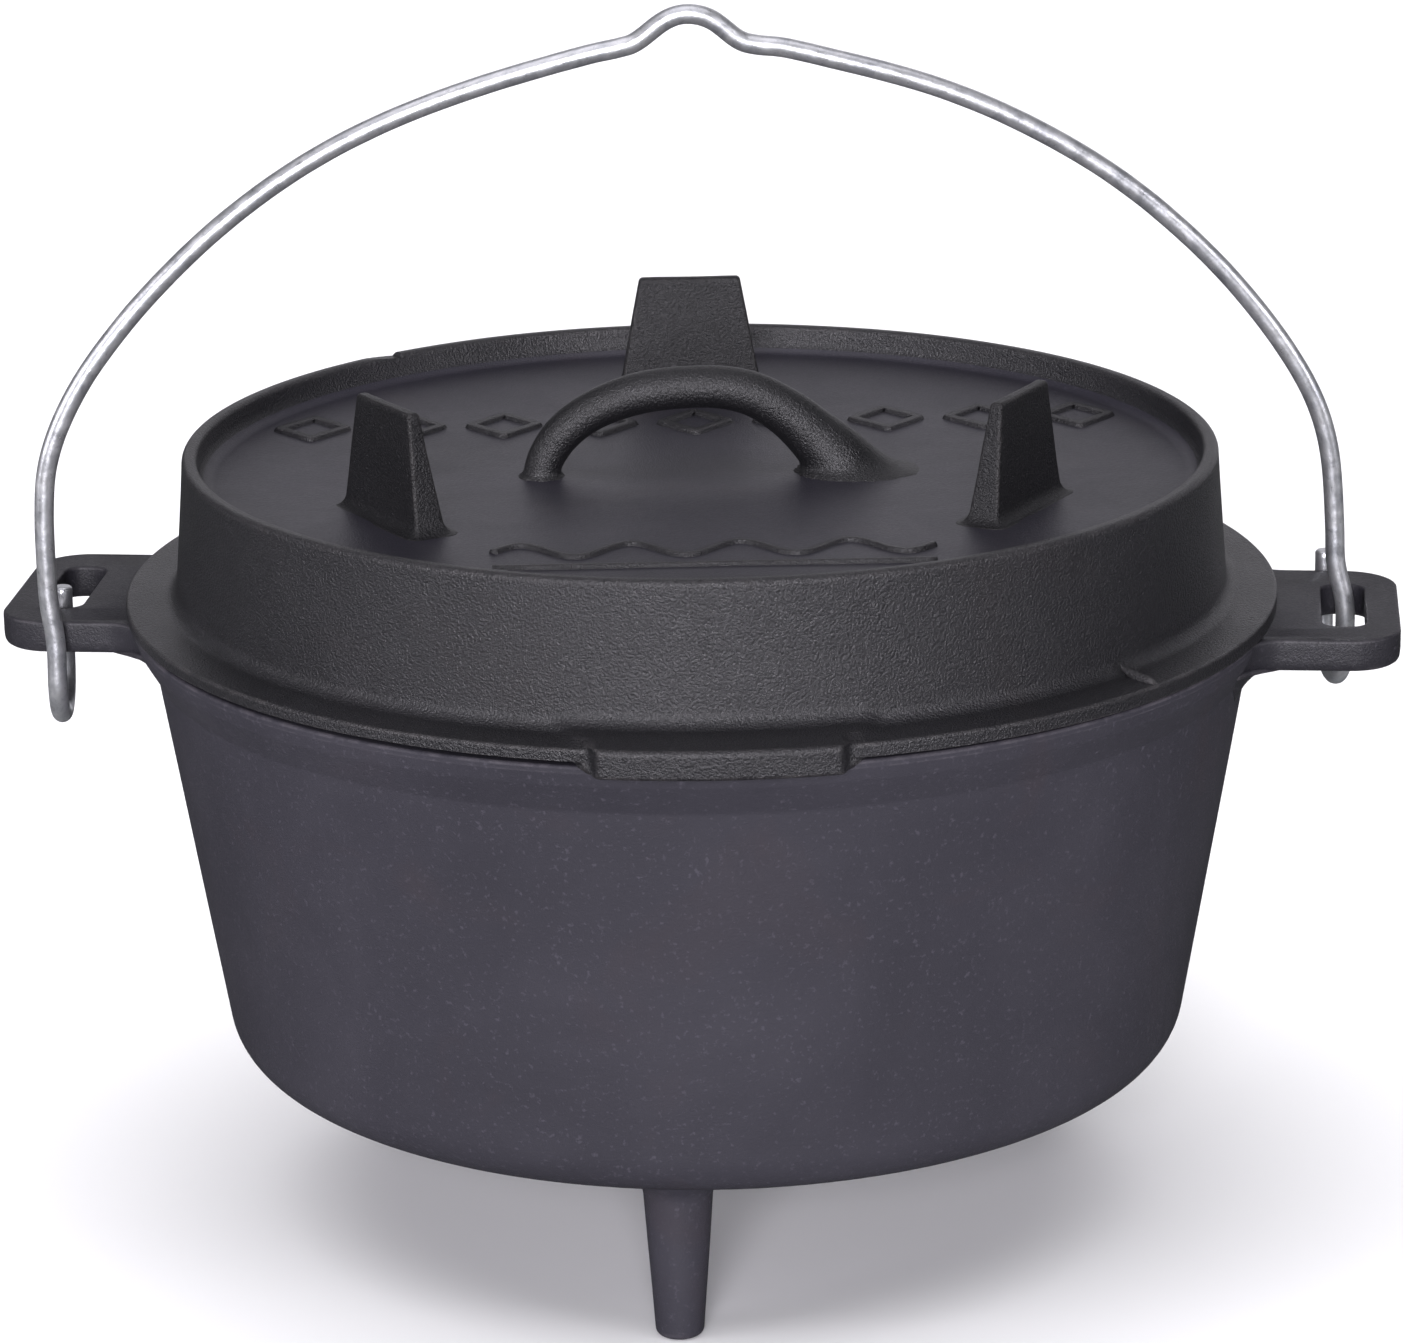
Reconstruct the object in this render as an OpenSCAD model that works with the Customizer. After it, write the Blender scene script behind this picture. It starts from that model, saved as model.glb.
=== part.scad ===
// Cast iron camp dutch oven: a three-legged pot with two slotted ears,
// a flanged lid with three trivet feet and a loop, and a hooked wire bail.
// Millimetres, +Z up. The origin is on the floor under the pot's axis.
// +X runs from ear to ear, and -Y is the side of the single front leg.

/* [Pot] */
// Outer radius of the pot wall, taken at the rim plane
pot_top_r = 141; // [136:0.5:143]
// Outer radius of the pot wall, taken at the flat bottom
pot_bottom_r = 122; // [112:0.5:126]
// Outer depth of the pot, from rim plane to flat bottom
pot_depth = 117.5; // [100:0.5:130]
// Radius of the rounded corner between wall and bottom
pot_corner_r = 14; // [8:0.5:20]
// Thickness of the pot wall
pot_wall = 4.6; // [3.5:0.1:6]
// Thickness of the pot bottom
pot_floor = 5.5; // [4:0.1:8]
// Outer radius of the thickened rim band
rim_r = 145; // [143:0.25:146]
// Height of the thickened rim band
rim_h = 13; // [10:0.5:15]
// Radius of the pot's mouth
mouth_r = 133.5; // [132.5:0.25:134.5]

/* [Legs] */
// Free height of the legs under the pot
leg_h = 43; // [30:0.5:50]
// Radius of the circle that the legs stand on
leg_circle_r = 100; // [85:0.5:101]
// Radius of a leg where it joins the pot
leg_top_r = 9.3; // [8:0.1:10]
// Radius of a leg at its tip
leg_tip_r = 5.9; // [5:0.1:7.5]
// How far the three legs are turned round from the ears, in degrees
leg_turn = 1.2; // [-5:0.1:5]

/* [Ears] */
// Distance from the pot's axis to an ear's outer end
ear_reach = 177; // [174:0.5:180]
// Width of an ear along Y
ear_w = 65; // [60:0.5:70]
// Thickness of an ear
ear_t = 8.5; // [7:0.1:10]
// Radius of an ear's outer corners
ear_corner_r = 13; // [8:0.5:14]
// Radius that blends an ear's sides into the rim
ear_blend_r = 10; // [6:0.5:12]
// Width of the slot, along X
slot_w = 11; // [10:0.25:12]
// Length of the slot, along Y
slot_l = 38; // [36:0.5:39]
// Radius of the slot's corners
slot_corner_r = 4.5; // [3:0.25:5]
// Distance from the pot's axis to the slot's middle
slot_x = 163; // [162:0.25:164]

/* [Lid] */
// Outer radius of the lid's raised rim
lid_rim_r = 131; // [126:0.5:132]
// Height of the lid's rim above the pot's rim plane
lid_h = 41; // [36:0.5:44]
// Depth of the tray below the top of the lid's rim
tray_depth = 7.2; // [5:0.1:10]
// Outer radius of the lid's flange
flange_r = 146.4; // [145:0.1:147.5]
// Thickness of the flange at its edge
flange_t = 4.6; // [3.5:0.1:5.5]
// Thickness of the lid's plate
plate_t = 5; // [4:0.1:6]
// Depth of the locating lip inside the pot's mouth
lip_h = 3.6; // [2:0.1:5]
// How far the lid is turned round on the pot, in degrees
lid_turn = 7; // [0:0.5:12]

/* [Lid fittings] */
// Radius of the circle that the lid's feet stand on, at their outer faces
foot_circle_r = 92.5; // [88:0.5:96]
// Height of a lid foot above the tray
foot_h = 29.5; // [24:0.5:34]
// Width of a lid foot at its base
foot_base_w = 38; // [34:0.5:42]
// Width of a lid foot at its top
foot_top_w = 27; // [22:0.5:30]
// Thickness of a lid foot at its base
foot_base_t = 8.5; // [7:0.1:10]
// Thickness of a lid foot at its top
foot_top_t = 3.4; // [3:0.1:5]
// Thickness of the loop's round bar
loop_d = 11; // [9:0.5:12]
// Height of the loop's crown above the tray, to the middle of the bar
loop_h = 22.3; // [19:0.1:25]
// Distance of the loop in front of the lid's middle
loop_y = 5; // [0:0.5:8]
// Outer radius of the front lug
lug_r = 151; // [149:0.5:151.5]
// Half of the angle that the front lug covers, in degrees
lug_half = 11; // [8:0.5:14]
// Height of the raised relief on the tray
relief_h = 1; // [0.4:0.1:1.2]

/* [Bail] */
// Diameter of the bail's wire
wire_d = 5; // [4:0.1:5.5]
// Distance from the middle of the bail to each hook
hook_x = 164; // [163:0.25:165]
// Half of the distance between a hook's two strands
hook_r = 11; // [10.6:0.1:11.2]
// How far the left hook's tip is bent in towards the pot
left_skew = 1; // [0:0.5:4]
// How far the right hook's tip is bent in towards the pot
right_skew = 1.5; // [0:0.5:5]
// How far the hook's lowest point hangs below the ear's middle
hook_drop = 21.5; // [18:0.5:23]
// Height of the hook's tip above the ear's middle
tip_h = 8.5; // [5:0.5:12]

/* [Hidden] */
$fn = 96;
rim_z = leg_h + pot_depth;           // pot rim plane, where the lid sits
ear_z = rim_z - ear_t / 2;           // middle of the ears, and the bail's axis
lid_z = rim_z + lid_h;               // top of the lid's rim
tray_z = lid_z - tray_depth;         // top face of the lid's plate
bar_y = (ear_w / 2 + slot_l / 2) / 2; // middle of the bars that the hooks go round
bail_turn = atan2(bar_y, slot_x);    // the hooks sit on opposite bars
iron = [0.16, 0.16, 0.18];
lid_iron = [0.13, 0.13, 0.14];
zinc = [0.66, 0.68, 0.70];

// points of an arc about c, from angle a to angle b in n steps
function arc(c, r, a, b, n = 6) = [for (i = [0 : n]) let (t = a + (b - a) * i / n) [c[0] + r * cos(t), c[1] + r * sin(t)]];

// ---- pot ----
wall_a = atan((pot_top_r - pot_bottom_r) / pot_depth);   // draft of the wall
function wall_r(z) = pot_bottom_r + (pot_top_r - pot_bottom_r) * (z - leg_h) / pot_depth;
// centre of a corner of radius r that touches the wall line and the level z0
function corner_c(r, z0, inset) = let (z = z0 + r) [wall_r(z) - inset / cos(wall_a) - r / cos(wall_a), z];

module pot_outer_profile() {
    c = corner_c(pot_corner_r, leg_h, 0);
    polygon(concat([[0, leg_h]], arc(c, pot_corner_r, -90, -wall_a, 8),
        [[wall_r(rim_z - rim_h - 3), rim_z - rim_h - 3],
         [wall_r(rim_z - rim_h) + 0.5, rim_z - rim_h],
         [wall_r(rim_z - rim_h) + 1.7, rim_z - rim_h + 2.5],
         [rim_r - 1.1, rim_z - 5.5], [rim_r - 0.2, rim_z - 3],
         [rim_r, rim_z - 1.6], [rim_r - 0.3, rim_z - 0.5], [rim_r - 0.9, rim_z], [0, rim_z]]));
}
module pot_body() {
    ri = pot_corner_r - pot_wall + 2;
    c = corner_c(ri, leg_h + pot_floor, pot_wall);
    color(iron) difference() {
        rotate_extrude($fn = 128) pot_outer_profile();
        rotate_extrude($fn = 128) polygon(concat([[0, leg_h + pot_floor]], arc(c, ri, -90, -wall_a, 8),
            [[wall_r(rim_z - 14) - pot_wall, rim_z - 14], [mouth_r, rim_z - 9], [mouth_r, rim_z - 0.8],
             [mouth_r + 0.8, rim_z + 1], [0, rim_z + 1]]));
    }
}

// ---- ears ----
module ear_outline() {
    x1 = ear_reach; w = ear_w / 2; r = ear_corner_r; b = ear_blend_r;
    // a blend circle touches the ear's side and the rim's circle
    bx = sqrt(pow(rim_r - 1 + b, 2) - pow(w + b, 2));
    k = atan2(w + b, bx);
    polygon(concat([[rim_r - 16, -w - b]],
        [for (p = arc([bx, -w - b], b, 180 - k, 90, 6)) p],
        arc([x1 - r, -w + r], r, -90, 0, 8), arc([x1 - r, w - r], r, 0, 90, 8),
        [for (p = arc([bx, w + b], b, -90, -180 + k, 6)) p],
        [[rim_r - 16, w + b]]));
}
module slot_outline() {
    a = slot_w / 2 - slot_corner_r; b = slot_l / 2 - slot_corner_r; r = slot_corner_r;
    polygon(concat(arc([a, b], r, 0, 90, 6), arc([-a, b], r, 90, 180, 6),
        arc([-a, -b], r, 180, 270, 6), arc([a, -b], r, 270, 360, 6)));
}
module ear() {
    difference() {
        translate([0, 0, rim_z - ear_t]) linear_extrude(ear_t) ear_outline();
        translate([slot_x, 0, rim_z - ear_t - 1]) linear_extrude(ear_t + 2) slot_outline();
        rotate_extrude($fn = 128) pot_outer_profile();
    }
}
module right_ear() { color(iron) ear(); }
module left_ear() { color(iron) rotate([0, 0, 180]) ear(); }

// ---- legs ----
module leg(angle) {
    rotate([0, 0, angle + leg_turn]) translate([leg_circle_r, 0, 0]) rotate_extrude($fn = 48)
        polygon([[0, 0], [leg_tip_r - 2, 0], [leg_tip_r - 0.9, 0.4], [leg_tip_r - 0.2, 1.2], [leg_tip_r + 0.1, 2.4],
            [leg_top_r - 0.6, leg_h - 5], [leg_top_r, leg_h], [0, leg_h]]);
}
module front_leg() { color(iron) leg(-90); }
module right_leg() { color(iron) leg(30); }
module left_leg() { color(iron) leg(150); }

// ---- lid ----
module turned() { rotate([0, 0, lid_turn]) children(); }
// the lid's plate and its wall are one casting, parted here at the edge of the tray's floor
plate_r = lid_rim_r - 7.6;
module lid_plate() {
    color(lid_iron) rotate_extrude($fn = 128) intersection() { lid_profile(); translate([0, rim_z + 12]) square([plate_r, 60]); }
}
module lid_wall() {
    color(lid_iron) rotate_extrude($fn = 128) difference() { lid_profile(); translate([-1, rim_z + 12]) square([plate_r + 1, 60]); }
}
module lid_profile() {
    base = lid_rim_r + 2.8;   // wall's radius where its fillet starts
    in_r = lid_rim_r - 4;     // inner radius of the raised rim
    polygon(concat(
        [[0, tray_z]],
        arc([in_r - 3.6, tray_z + 3], 3, -90, -12, 5),
        [[in_r - 0.2, lid_z - 1.2]],
        arc([in_r + 1.5, lid_z - 1.5], 1.5, 165, 90, 3),
        arc([lid_rim_r - 1.8, lid_z - 1.8], 1.8, 90, 5, 4),
        [[lid_rim_r + 0.6, lid_z - 9], [base - 0.1, rim_z + flange_t + 7.6]],
        arc([base + 6.2, rim_z + flange_t + 7], 6.2, 182, 262, 7),
        [[flange_r - 1, rim_z + flange_t], [flange_r - 0.2, rim_z + flange_t - 0.5],
         [flange_r, rim_z + flange_t - 1.2], [flange_r, rim_z + 1.2], [flange_r - 0.7, rim_z + 0.5],
         [flange_r - 5, rim_z + 0.4], [flange_r - 5.4, rim_z],
         [mouth_r - 1.6, rim_z], [mouth_r - 1.9, rim_z - lip_h + 0.8], [mouth_r - 2.6, rim_z - lip_h],
         [mouth_r - 4.4, rim_z - lip_h], [mouth_r - 5.2, rim_z - lip_h + 0.8]],
        arc([lid_rim_r - 13, tray_z - plate_t - 9], 9, 10, 90, 6),
        [[0, tray_z - plate_t]]));
}
// the lid's outer side, to trim what stands on the flange
module flange_cutter() {
    intersection() { lid_profile(); translate([0, rim_z - 10]) square([200, 45]); }
    translate([0, rim_z - 10]) square([lid_rim_r, 45]);
}
// a blade that leans in towards its outer face, square across the radius
module lid_foot(angle) {
    o = foot_circle_r; b = foot_base_w / 2; t = foot_top_w / 2;
    rotate([0, 0, angle]) translate([0, 0, tray_z]) hull() {
        translate([o - foot_base_t - 1.8, -b - 1.8, 0]) cube([foot_base_t + 3, 2 * b + 3.6, 0.01]);
        translate([o - foot_base_t, -b, 1.6]) cube([foot_base_t, 2 * b, 0.01]);
        translate([o - 2 - foot_top_t, -t, foot_h - 0.7]) cube([foot_top_t, 2 * t, 0.01]);
        translate([o - 1.5 - foot_top_t, -t + 0.7, foot_h - 0.01]) cube([foot_top_t - 1, 2 * t - 1.4, 0.01]);
    }
}
module rear_foot() { color(lid_iron) turned() lid_foot(90); }
module left_foot() { color(lid_iron) turned() lid_foot(210); }
module right_foot() { color(lid_iron) turned() lid_foot(-30); }

// closed sweep of a round bar along pts, with one radius per point
function unit(v) = v / norm(v);
function tangent(p, i) = unit(p[min(i + 1, len(p) - 1)] - p[max(i - 1, 0)]);
function flat_on(v, t) = unit(v - (v * t) * t);
function frames(p, i, v) = i == len(p) ? [] : let (t = tangent(p, i), n = flat_on(v, t)) concat([[n, cross(t, n)]], frames(p, i + 1, n));
function smooth(p, i, u) = let (a = p[max(i - 1, 0)], b = p[i], c = p[i + 1], d = p[min(i + 2, len(p) - 1)])
    0.5 * ((2 * b) + (c - a) * u + (2 * a - 5 * b + 4 * c - d) * u * u + (3 * b - a - 3 * c + d) * u * u * u);
function spline(p, n) = concat([for (i = [0 : len(p) - 2]) for (k = [0 : n - 1]) smooth(p, i, k / n)], [p[len(p) - 1]]);
module sweep(p, r, sides, up) {
    f = frames(p, 0, up); n = len(p);
    polyhedron(
        points = concat([for (i = [0 : n - 1]) for (k = [0 : sides - 1])
            let (a = 360 * k / sides) p[i] + r[i] * (cos(a) * f[i][0] + sin(a) * f[i][1])], [p[0], p[n - 1]]),
        faces = concat(
            [for (i = [0 : n - 2]) for (k = [0 : sides - 1]) let (m = (k + 1) % sides)
                [i * sides + k, (i + 1) * sides + k, (i + 1) * sides + m]],
            [for (i = [0 : n - 2]) for (k = [0 : sides - 1]) let (m = (k + 1) % sides)
                [i * sides + k, (i + 1) * sides + m, i * sides + m]],
            [for (k = [0 : sides - 1]) [n * sides, k, (k + 1) % sides]],
            [for (k = [0 : sides - 1]) [n * sides + 1, (n - 1) * sides + (k + 1) % sides, (n - 1) * sides + k]]),
        convexity = 6);
}
// the loop: its left end stands steep and slim, its right end runs out in a flared root
loop_pts = [[-41, -6], [-40.3, 0], [-38.5, 5.5], [-34, 11.5], [-26.5, 16.8], [-15, 20.9], [0, 22.3],
    [12, 20.6], [21.5, 15.4], [29, 8.8], [34.5, 2.5], [37, -4]];
loop_rad = [4.9, 4.8, 4.8, 5, 5.1, 5.4, 5.5, 5.7, 6.2, 7.2, 9, 11];
module loop_handle() {
    p = spline([for (q = loop_pts) [q[0], -loop_y, q[1] * loop_h / 22.3]], 3);
    r = [for (q = spline([for (q = loop_rad) [q, 0, 0]], 3)) q[0] * loop_d / 11];
    color(lid_iron) turned() translate([0, 0, tray_z]) difference() {
        sweep(p, r, 16, [0, 1, 0]);
        translate([-80, -40, -30]) cube([160, 80, 30]);
    }
}
module front_lug() {
    a = lug_half; r0 = flange_r - 9; low = rim_z - 1.5; top = rim_z + flange_t + 1.5;
    color(lid_iron) turned() rotate([0, 0, -90]) difference() {
        // a wedge with slanting ends, wider at its root than at its face
        intersection() {
            rotate_extrude($fn = 128) polygon([[r0, low], [lug_r - 1, low], [lug_r, low + 1], [lug_r, top - 1.4],
                [lug_r - 1, top - 0.2], [r0, top]]);
            translate([0, 0, low - 1]) linear_extrude(12) polygon([[100, 0],
                [r0 * cos(a + 3), -r0 * sin(a + 3)], [lug_r * cos(a + 0.2), -lug_r * sin(a + 0.2)], [170, -170 * sin(a - 2)],
                [170, 170 * sin(a - 2)], [lug_r * cos(a + 0.2), lug_r * sin(a + 0.2)], [r0 * cos(a + 3), r0 * sin(a + 3)]]);
        }
        rotate_extrude($fn = 128) flange_cutter();
        // room for the pot's rim
        translate([0, 0, low - 2]) cylinder(r = rim_r + 0.8, h = 3.5, $fn = 128);
    }
}
module casting_rib() {
    color(lid_iron) turned() rotate([0, 0, -43.5]) difference() {
        translate([flange_r - 12.5, -1.2, rim_z + flange_t - 1]) cube([11, 2.4, 2.9]);
        rotate_extrude($fn = 128) flange_cutter();
    }
}
// a chain of plain raised lozenges, and a plain raised wave with a bar under it
module back_relief() {
    color(lid_iron) turned() translate([0, 46, tray_z]) for (i = [-4 : 4]) translate([i * 25, 0, 0])
        linear_extrude(relief_h) difference() {
            polygon([[-10.5, 0], [0, -13], [10.5, 0], [0, 13]]);
            polygon([[-6.7, 0], [0, -8.3], [6.7, 0], [0, 8.3]]);
        }
}
module front_relief() {
    n = 48;
    function wave(i, s) = [-52 + 106 * i / n, 5.5 * sin(i * 360 * 4 / n) + s];
    color(lid_iron) turned() translate([0, 0, tray_z]) linear_extrude(relief_h) {
        translate([0, -78]) polygon(concat([for (i = [0 : n]) wave(i, 1.2)], [for (i = [n : -1 : 0]) wave(i, -1.2)]));
        translate([-52, -93]) square([106, 2]);
    }
}

// ---- bail ----
// The wire's middle line in the bail's own plane, as [across, height above the ears'
// middle]. It hangs loose in its hooks, so the arch leans a little to the left.
crown = [[-19.5, 148], [-15, 149.5], [-8, 154.5], [-2.5, 156], [3.5, 154.5], [10, 149.5], [14.5, 148]];
left_arch = [[-27, 146.5], [-40, 143.5], [-52, 140], [-65, 136], [-77, 131.5], [-87.5, 126.5], [-96, 122],
    [-104, 117], [-111, 112], [-117, 107.5], [-123, 102.5], [-128.5, 97.5], [-133.5, 92.5], [-138.5, 87.5],
    [-143, 82.5], [-147, 77.5], [-151, 72.5], [-154.5, 67.5], [-157.5, 62.5], [-160, 57.5], [-162.5, 52],
    [-164, 47], [-165, 42], [-165.5, 36], [-165.5, 28]];
right_arch = [[22, 147], [35.5, 143.5], [48, 140.5], [59, 137], [70, 132.5], [80.5, 127.5], [90, 122], [98.5, 117],
    [106, 111.5], [112.5, 106.5], [118.5, 101], [124, 96], [129, 91], [134, 85.5], [138.5, 80], [142.5, 75],
    [146.5, 69.5], [150, 64], [153, 59], [155.5, 54], [157.5, 48.5], [159, 43], [160, 37], [160.5, 30], [161, 20]];
module bail_wire() {
    // strands, half turn and tip of one hook; s is -1 for the left side, and k its skew
    function hook(s, k) = concat([[s * hook_x, -hook_r, 0], [s * hook_x, -hook_r, hook_r - hook_drop]],
        [for (i = [1 : 7]) [s * (hook_x - k * (1 - cos(180 * i / 8)) / 2), -hook_r * cos(180 * i / 8),
            hook_r - hook_drop - hook_r * sin(180 * i / 8)]],
        [for (z = [hook_r - hook_drop, 0, tip_h]) [s * (hook_x - k), hook_r, z]]);
    function flat(l) = [for (q = l) [q[0], -hook_r, q[1]]];
    function back(l) = [for (i = [len(l) - 1 : -1 : 0]) l[i]];
    pts = spline(concat(back(concat(flat(left_arch), [[-hook_x - 1.3, -hook_r, 12]], hook(-1, left_skew))),
        flat(crown), flat(right_arch), [[161.5, -hook_r, 11]], hook(1, right_skew)), 2);
    color(zinc) translate([0, 0, ear_z]) rotate([0, 0, bail_turn])
        sweep(pts, [for (q = pts) wire_d / 2], 12, [1, 0, 0]);
}

pot_body();
left_ear();
right_ear();
front_leg();
left_leg();
right_leg();
lid_plate();
lid_wall();
rear_foot();
left_foot();
right_foot();
loop_handle();
front_lug();
casting_rib();
back_relief();
front_relief();
bail_wire();
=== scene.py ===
import math

import bmesh
import bpy
import numpy as np
from mathutils import Matrix, Vector, geometry, noise


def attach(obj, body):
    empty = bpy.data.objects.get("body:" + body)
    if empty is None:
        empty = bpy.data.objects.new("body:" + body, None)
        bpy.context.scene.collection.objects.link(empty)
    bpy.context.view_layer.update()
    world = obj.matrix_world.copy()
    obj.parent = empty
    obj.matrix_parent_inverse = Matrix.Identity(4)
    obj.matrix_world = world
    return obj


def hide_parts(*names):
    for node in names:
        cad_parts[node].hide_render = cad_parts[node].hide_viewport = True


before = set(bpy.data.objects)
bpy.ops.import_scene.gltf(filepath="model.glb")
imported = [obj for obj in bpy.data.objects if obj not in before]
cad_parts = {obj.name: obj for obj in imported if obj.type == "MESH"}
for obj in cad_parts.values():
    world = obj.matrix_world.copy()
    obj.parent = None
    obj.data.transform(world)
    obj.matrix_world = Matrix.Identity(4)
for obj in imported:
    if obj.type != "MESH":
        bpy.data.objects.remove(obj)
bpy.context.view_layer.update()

# The numbers below are millimetres in the row frame: the same ones the CAD is built from.
MM = 0.001
LEG_H, RIM_Z = 43.0, 160.5
LID_Z, TRAY_Z = 201.5, 194.3
EAR_Z = RIM_Z - 8.5 / 2
LID_TURN = math.radians(7)
BAIL_TURN = math.atan2(25.75, 163)


# ---------------------------------------------------------------- materials
def ramp(nodes, links, source, stops):
    r = nodes.new("ShaderNodeValToRGB")
    r.color_ramp.elements[0].position, r.color_ramp.elements[0].color = stops[0][0], (*stops[0][1], 1)
    r.color_ramp.elements[1].position, r.color_ramp.elements[1].color = stops[-1][0], (*stops[-1][1], 1)
    for pos, col in stops[1:-1]:
        e = r.color_ramp.elements.new(pos)
        e.color = (*col, 1)
    links.new(source, r.inputs["Fac"])
    return r.outputs["Color"]


def grey(v):
    return (v, v, v)


def noise_node(nodes, links, vector, scale, detail=2.0, rough=0.5, distortion=0.0):
    n = nodes.new("ShaderNodeTexNoise")
    n.inputs["Scale"].default_value = scale
    n.inputs["Detail"].default_value = detail
    n.inputs["Roughness"].default_value = rough
    n.inputs["Distortion"].default_value = distortion
    links.new(vector, n.inputs["Vector"])
    return n.outputs["Fac"]


def bump_node(nodes, links, height, strength, distance, under=None):
    b = nodes.new("ShaderNodeBump")
    b.inputs["Strength"].default_value = strength
    b.inputs["Distance"].default_value = distance
    links.new(height, b.inputs["Height"])
    if under is not None:
        links.new(under, b.inputs["Normal"])
    return b.outputs["Normal"]


def iron(name, dark, mid, light, rough, grain, peel, fleck=0.5, scale=1.0, specular=0.5):
    """Seasoned cast iron: bluish black, with the sand's grain in the skin, an uneven oil film and a few bright grains."""
    m = bpy.data.materials.new(name)
    m.use_nodes = True
    nodes, links = m.node_tree.nodes, m.node_tree.links
    nodes.clear()
    out = nodes.new("ShaderNodeOutputMaterial")
    bsdf = nodes.new("ShaderNodeBsdfPrincipled")
    links.new(bsdf.outputs["BSDF"], out.inputs["Surface"])
    obj = nodes.new("ShaderNodeTexCoord").outputs["Object"]
    # colour: broad cloudiness of the seasoning, then single grains that stay lighter
    cloud = noise_node(nodes, links, obj, 16, 4, 0.6, 0.4)
    base = ramp(nodes, links, cloud, [(0.30, dark), (0.52, mid), (0.72, light)])
    speck = noise_node(nodes, links, obj, 760 * scale, 2, 0.6)
    speck_fac = ramp(nodes, links, speck, [(0.60, grey(0)), (0.72, grey(fleck))])
    mix = nodes.new("ShaderNodeMix")
    mix.data_type = "RGBA"
    mix.inputs[7].default_value = (light[0] * 2.3, light[1] * 2.25, light[2] * 2.2, 1)
    links.new(speck_fac, mix.inputs[0])
    links.new(base, mix.inputs[6])
    # a faint brown bloom in patches
    bloom = noise_node(nodes, links, obj, 26, 3, 0.55, 0.8)
    bloom_fac = ramp(nodes, links, bloom, [(0.56, grey(0)), (0.78, grey(0.32))])
    warm = nodes.new("ShaderNodeMix")
    warm.data_type = "RGBA"
    warm.inputs[7].default_value = (mid[0] * 1.35, mid[1] * 1.02, mid[2] * 0.88, 1)
    links.new(bloom_fac, warm.inputs[0])
    links.new(mix.outputs[2], warm.inputs[6])
    # edges rub bare: lighter and a little browner, broken up by noise
    worn = nodes.new("ShaderNodeAttribute")
    worn.attribute_name = "worn"
    rub = noise_node(nodes, links, obj, 190, 4, 0.65)
    rub_fac = ramp(nodes, links, rub, [(0.38, grey(0.05)), (0.66, grey(1.0))])
    both = nodes.new("ShaderNodeMath")
    both.operation = "MULTIPLY"
    links.new(worn.outputs["Fac"], both.inputs[0])
    links.new(rub_fac, both.inputs[1])
    edge = nodes.new("ShaderNodeMix")
    edge.data_type = "RGBA"
    edge.inputs[7].default_value = (light[0] * 1.8 + 0.004, light[1] * 1.75 + 0.0035, light[2] * 1.6 + 0.003, 1)
    links.new(both.outputs[0], edge.inputs[0])
    links.new(warm.outputs[2], edge.inputs[6])
    links.new(edge.outputs[2], bsdf.inputs["Base Color"])
    # gloss: the oil film is uneven at two scales
    film = noise_node(nodes, links, obj, 38, 4, 0.62, 0.5)
    fine = noise_node(nodes, links, obj, 1500 * scale, 2, 0.5)
    add = nodes.new("ShaderNodeMath")
    add.operation = "ADD"
    links.new(film, add.inputs[0])
    links.new(fine, add.inputs[1])
    spread = nodes.new("ShaderNodeMapRange")
    spread.inputs["From Min"].default_value = 0.65
    spread.inputs["From Max"].default_value = 1.35
    spread.inputs["To Min"].default_value = rough[0]
    spread.inputs["To Max"].default_value = rough[1]
    links.new(add.outputs[0], spread.inputs["Value"])
    links.new(spread.outputs["Result"], bsdf.inputs["Roughness"])
    bsdf.inputs["Metallic"].default_value = 0.0
    bsdf.inputs["IOR"].default_value = 1.5
    bsdf.inputs["Specular IOR Level"].default_value = specular
    # skin: slow unevenness, the peel of the sand, then the grain itself
    slow = noise_node(nodes, links, obj, 60, 2, 0.5)
    n1 = bump_node(nodes, links, slow, 0.20, 0.0008)
    peel_h = noise_node(nodes, links, obj, 1500 * scale, 3, 0.6, 0.0)
    n2 = bump_node(nodes, links, peel_h, peel, 0.00044, n1)
    grain_h = noise_node(nodes, links, obj, 2500 * scale, 2, 0.55)
    n3 = bump_node(nodes, links, grain_h, grain, 0.00018, n2)
    links.new(n3, bsdf.inputs["Normal"])
    return m


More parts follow.
